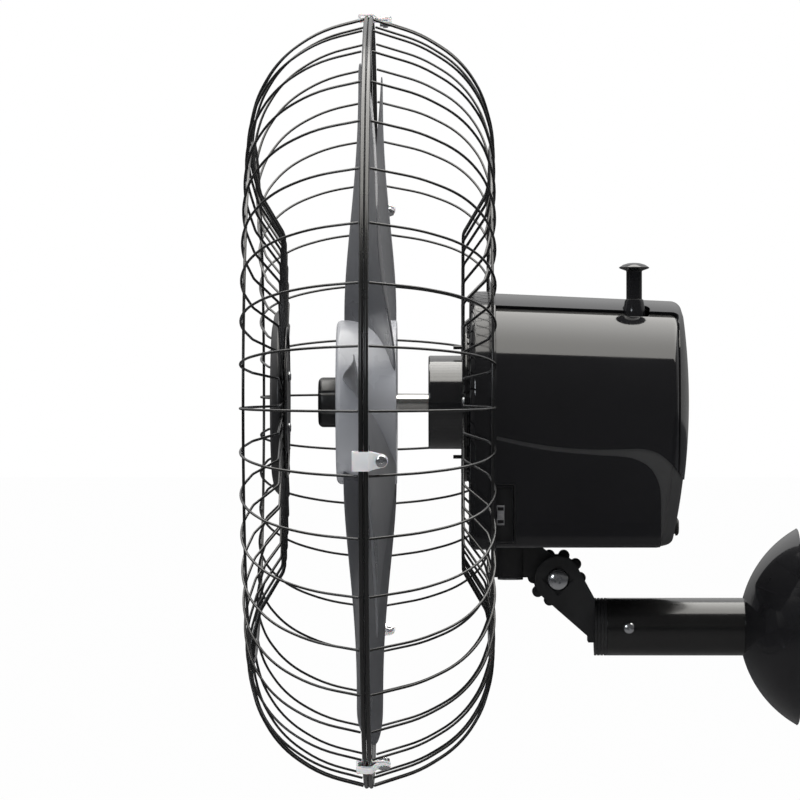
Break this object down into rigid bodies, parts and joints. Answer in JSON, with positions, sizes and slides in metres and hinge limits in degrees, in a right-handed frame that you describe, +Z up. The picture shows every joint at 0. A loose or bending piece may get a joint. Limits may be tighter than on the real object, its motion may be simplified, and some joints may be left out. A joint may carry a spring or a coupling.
{
  "type": "wall mounted fan",
  "caption": "Oscillating wall mounted fan with a round wire guard, a motor head with a pull knob, a tilting neck with a lock knob, and an arm tube with a dome canopy.",
  "frame": {"origin": "centre of the wall plate's back face, on the arm's axis", "axes": "+Z up, +Y into the wall, so the fan blows towards -Y"},
  "size_m": [0.6019, 0.4273, 0.6028],
  "materials": {
    "black_gloss": "gloss",
    "black_satin": "satin",
    "black_paint": "gloss",
    "black_casting": "satin",
    "grey_trim": "satin",
    "blade_grey": "satin",
    "zinc_steel": "satin",
    "bright_screw": "bright zinc",
    "shaft_steel": "ground",
    "cast_alloy": "as cast",
    "core_steel": "oiled",
    "copper": "enamelled",
    "bronze": "sintered",
    "white_nylon": "satin",
    "pale_clip": "satin",
    "pale_grey": "satin",
    "black_fibre": "matt",
    "black_rubber": "matt"
  },
  "bodies": {
    "wall_base": {"wall_plate": "zinc_steel", "arm_tube": "black_paint", "arm_screws": "bright_screw", "tilt_bracket": "black_casting", "tilt_bolt": "bright_screw", "tilt_washers": "black_fibre"},
    "canopy": {"canopy_dome": "black_paint"},
    "tilt_lock": {"tilt_lock_knob": "black_satin", "lock_knob_nut": "zinc_steel"},
    "neck": {"neck_casting": "black_casting", "pivot_pin": "zinc_steel", "pivot_lever": "zinc_steel"},
    "link": {"oscillation_link": "zinc_steel"},
    "crank": {"crank_disc": "zinc_steel", "crank_shaft": "zinc_steel"},
    "head": {"pivot_block": "cast_alloy", "pivot_bush": "bronze", "motor_nose": "black_gloss", "front_end_bell": "cast_alloy", "rear_end_bell": "cast_alloy", "shaft_bearings": "shaft_steel", "stator_core": "core_steel", "stator_windings": "copper", "motor_bolts": "zinc_steel", "capacitor": "black_gloss", "terminal_block": "white_nylon", "gearbox_case": "black_satin", "gearbox_lid": "black_satin", "gearbox_stay": "cast_alloy", "side_housing": "black_gloss", "spine_cover": "black_gloss", "swept_trim": "grey_trim", "front_cover": "black_gloss", "base_plate": "black_satin", "knob_collar": "black_gloss", "switch_panel": "black_satin", "switch_body": "black_satin", "cable_gland": "black_rubber", "guard_plate": "black_paint", "guard_screws": "zinc_steel", "rear_guard_wires": "black_paint", "rear_rim_ring": "black_paint", "rear_mid_ring": "black_paint", "front_guard_wires": "black_paint", "front_rim_ring": "black_paint", "front_mid_rings": "black_paint", "front_badge": "black_satin", "badge_back": "black_satin", "guard_clips": "pale_clip", "clip_screws": "bright_screw", "clip_nuts": "bright_screw"},
    "rotor": {"fan_blade": "blade_grey", "drive_pin": "zinc_steel", "fixing_knob": "black_satin", "motor_shaft": "shaft_steel", "rotor_core": "cast_alloy", "worm": "shaft_steel"},
    "wheel": {"worm_wheel": "white_nylon"},
    "pull_knob_body": {"pull_knob": "black_gloss"},
    "slider": {"switch_slider": "pale_grey"}
  },
  "joints": [
    {"name": "canopy_slide", "type": "slide", "parent": "wall_base", "child": "canopy", "axis": [0, -1, 0], "range_m": [0, 0.02]},
    {"name": "tilt", "type": "hinge", "parent": "wall_base", "child": "neck", "pos_m": [0, -0.1872, 0.0373], "axis": [1, 0, 0], "range_deg": [-15, 25]},
    {"name": "oscillation", "type": "hinge", "parent": "neck", "child": "head", "pos_m": [0, -0.224, 0], "axis": [0, 0, 1], "range_deg": [-40, 40]},
    {"name": "link_swing", "type": "hinge", "parent": "neck", "child": "link", "pos_m": [0.02225, -0.224, 0], "axis": [0, 0, 1], "range_deg": [-40, 40]},
    {"name": "crank_turn", "type": "hinge", "parent": "head", "child": "crank", "pos_m": [0.03675, -0.1289, 0], "axis": [0, 0, 1], "range_deg": [-90, 90]},
    {"name": "fan_spin", "type": "hinge", "parent": "head", "child": "rotor", "pos_m": [0, -0.3, 0.1752], "axis": [0, 1, 0], "continuous": true},
    {"name": "worm_wheel_spin", "type": "hinge", "parent": "head", "child": "wheel", "pos_m": [0.03675, -0.1289, 0.1752], "axis": [0, 0, 1], "continuous": true},
    {"name": "pull_knob_slide", "type": "slide", "parent": "head", "child": "pull_knob_body", "axis": [0, 0, 1], "range_m": [-0.008, 0]},
    {"name": "switch_slide", "type": "slide", "parent": "head", "child": "slider", "axis": [0, 0, 1], "range_m": [-0.005, 0.005]},
    {"name": "tilt_lock_turn", "type": "hinge", "parent": "wall_base", "child": "tilt_lock", "pos_m": [0, -0.1872, 0.0373], "axis": [1, 0, 0], "range_deg": [-180, 180]}
  ],
  "couplings": [
    {"joint": "link_swing", "follows": "oscillation", "ratio": 1},
    {"joint": "crank_turn", "follows": "oscillation", "ratio": 2.25},
    {"joint": "worm_wheel_spin", "follows": "fan_spin", "ratio": 0.021739}
  ]
}
